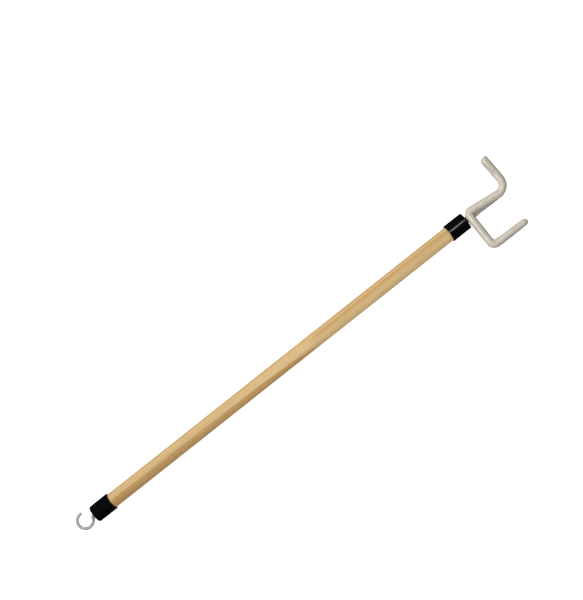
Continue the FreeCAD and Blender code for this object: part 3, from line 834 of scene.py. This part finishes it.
    def __call__(self, points):
        rods, shank = self.parts(points)
        outside = soft_join(rods, shank, self.FILLET) + self.CREASE_DEPTH * self.crease(points)
        return np.maximum(outside, -self.hollow(points))


GRID_STEP = 0.5 * MM
# painted shade in the crease and in the valley between the two skins, and a darker olive tint towards the
# push arm's tip
CREASE_SHADE = 0.75
VALLEY_SHADE = 0.55
VALLEY_WIDTH = 0.9 * MM
VALLEY_REACH = 3 * MM
TIP_DARKENING = 0.4
TIP_DARKENING_X = (PUSH_REACH - 9 * MM, PUSH_REACH - 3 * MM)


def make_hook_skin():
    """The skin as a mesh, with a note at each point of how much painted shade it gets in the crease and
    valley, and how much darker it is towards the push arm's tip.
    """
    skin = HookSkin()
    # the grid reaches this far past the rods' axes, and this far back over the cap's end
    reach = 7 * MM
    overlap = 0.6 * MM
    low = (-overlap, -PUSH_OFFSET - reach, -reach)
    high = (PULL_REACH + reach, PULL_OFFSET + reach / 2, rod_lift + reach)
    points, faces = skin_surface(skin, low, high, GRID_STEP)
    past_cap = np.array((cap_end, 0, 0))
    vinyl = make_hook_vinyl()
    piece = add_piece("hook_skin", points + past_cap, faces.tolist(), vinyl, "hook_vinyl", "hook_coating")

    points = stick_points(piece) - past_cap
    rods, shank = skin.parts(points)
    gap = np.maximum(np.maximum(rods, shank), 0)
    valley = np.exp(-gap / VALLEY_WIDTH) * (np.abs(rods - shank) < VALLEY_REACH)
    # painted shade for the crease and for the valley where the two skins meet
    painted_shade = CREASE_SHADE * skin.crease(points) + VALLEY_SHADE * valley
    note(piece, "crease", "FLOAT", np.clip(painted_shade, 0, 1))
    # how much darker and more olive the push arm is towards its tip
    by_push = points[:, 1] < -PUSH_OFFSET / 2
    near_tip = np.interp(points[:, 0], TIP_DARKENING_X, (0, 1))
    note(piece, "darker_tip", "FLOAT", TIP_DARKENING * near_tip * by_push)


# ---- the object ----

black_vinyl = make_black_vinyl()
make_dowel()
make_cap("upper_cap", "upper_end_cap", 1, upper_length, UPPER_END_ROUND, ROD_RADIUS, 21, black_vinyl)
make_cap("lower_cap", "lower_end_cap", -1, lower_length, LOWER_END_ROUND, WIRE_RADIUS, 34, black_vinyl)
make_wire_hook()
make_hook_skin()

rod_steel = make_steel("rod_steel", paint(150, 150, 152), paint(96, 94, 96), 0.4)
weld_steel = make_steel("weld_steel", paint(120, 116, 112), paint(70, 62, 58), 0.55)
for node, material in (
    ("push_pull_rod", rod_steel),
    ("screw_shank", rod_steel),
    ("crossing_weld", weld_steel),
    ("seam_weld", weld_steel),
):
    materials = frame["nodes"][node].data.materials
    materials.clear()
    materials.append(material)


# ---- floor, light and camera ----

scene = bpy.context.scene
scene.view_settings.view_transform = "Standard"

CAMERA_DISTANCE = 2.2
VIEW_HEIGHT = 0.7266
AIM = Vector((61.8 * MM, 55.5 * MM, 0))
PICTURE_TURN = math.radians(38.39)
SENSOR_WIDTH = 36
FLOOR_HALF = 30
WORLD_STRENGTH = 0.44


def make_floor():
    """A matt white surface that glows, and that neither lights the object nor shows in its gloss."""
    shader = Shader("paper_floor")
    mottle = shader.noise(shader.scaled(5, 5, 5), detail=3.0)
    shader.set(Base_Color=shader.mix(mottle, (0.93, 0.93, 0.925, 1), (0.955, 0.955, 0.95, 1)))
    shader.set(Roughness=0.9, Specular_IOR_Level=0.1, Emission_Color=(1, 1, 1, 1), Emission_Strength=0.75)
    mesh = bpy.data.meshes.new("floor")
    corners = [(x * FLOOR_HALF, y * FLOOR_HALF, 0) for x, y in ((-1, -1), (1, -1), (1, 1), (-1, 1))]
    mesh.from_pydata(corners, [], [(0, 1, 2, 3)])
    mesh.materials.append(shader.material)
    floor = bpy.data.objects.new("floor", mesh)
    scene.collection.objects.link(floor)
    floor.visible_glossy = False
    floor.visible_diffuse = False


def add_area_light(name, place, aim, size, power, glossy):
    """A rectangular lamp given in the stick's axes, in metres and watts. glossy lets gloss show it."""
    data = bpy.data.lights.new(name, "AREA")
    data.shape = "RECTANGLE"
    data.size, data.size_y = size
    data.energy = power
    lamp = bpy.data.objects.new(name, data)
    scene.collection.objects.link(lamp)
    position = to_row @ Vector(place)
    facing = (to_row @ Vector(aim)) - position
    turn = facing.to_track_quat("-Z", "Y").to_matrix().to_4x4()
    lamp.matrix_world = Matrix.Translation(position) @ turn
    lamp.visible_glossy = glossy


def make_world():
    world = bpy.data.worlds.new("studio")
    scene.world = world
    world.use_nodes = True
    background = world.node_tree.nodes["Background"]
    background.inputs["Color"].default_value = (1, 1, 1, 1)
    background.inputs["Strength"].default_value = WORLD_STRENGTH
    world.cycles_visibility.glossy = False


def make_camera():
    data = bpy.data.cameras.new("camera")
    data.sensor_width = SENSOR_WIDTH
    data.lens = SENSOR_WIDTH * CAMERA_DISTANCE / VIEW_HEIGHT
    camera = bpy.data.objects.new("camera", data)
    scene.collection.objects.link(camera)
    right = Vector((math.cos(PICTURE_TURN), -math.sin(PICTURE_TURN), 0))
    up = Vector((math.sin(PICTURE_TURN), math.cos(PICTURE_TURN), 0))
    turn = Matrix((right, up, Vector((0, 0, 1)))).transposed().to_4x4()
    place = AIM + Vector((0, 0, CAMERA_DISTANCE))
    camera.matrix_world = to_row @ Matrix.Translation(place) @ turn
    scene.camera = camera


make_floor()
make_world()
add_area_light("key", (-0.55, 1.45, 1.0), (0.05, 0, 0), size=(0.7, 0.7), power=21, glossy=False)
add_area_light("sheen", (-0.05, 0, 0.55), (0.3, 0, 0), size=(0.1, 0.1), power=0.95, glossy=True)
add_area_light("strip", (0.345, 0.156, 0.7), (0.275, 0, 0), size=(0.08, 0.14), power=0.5, glossy=True)
make_camera()
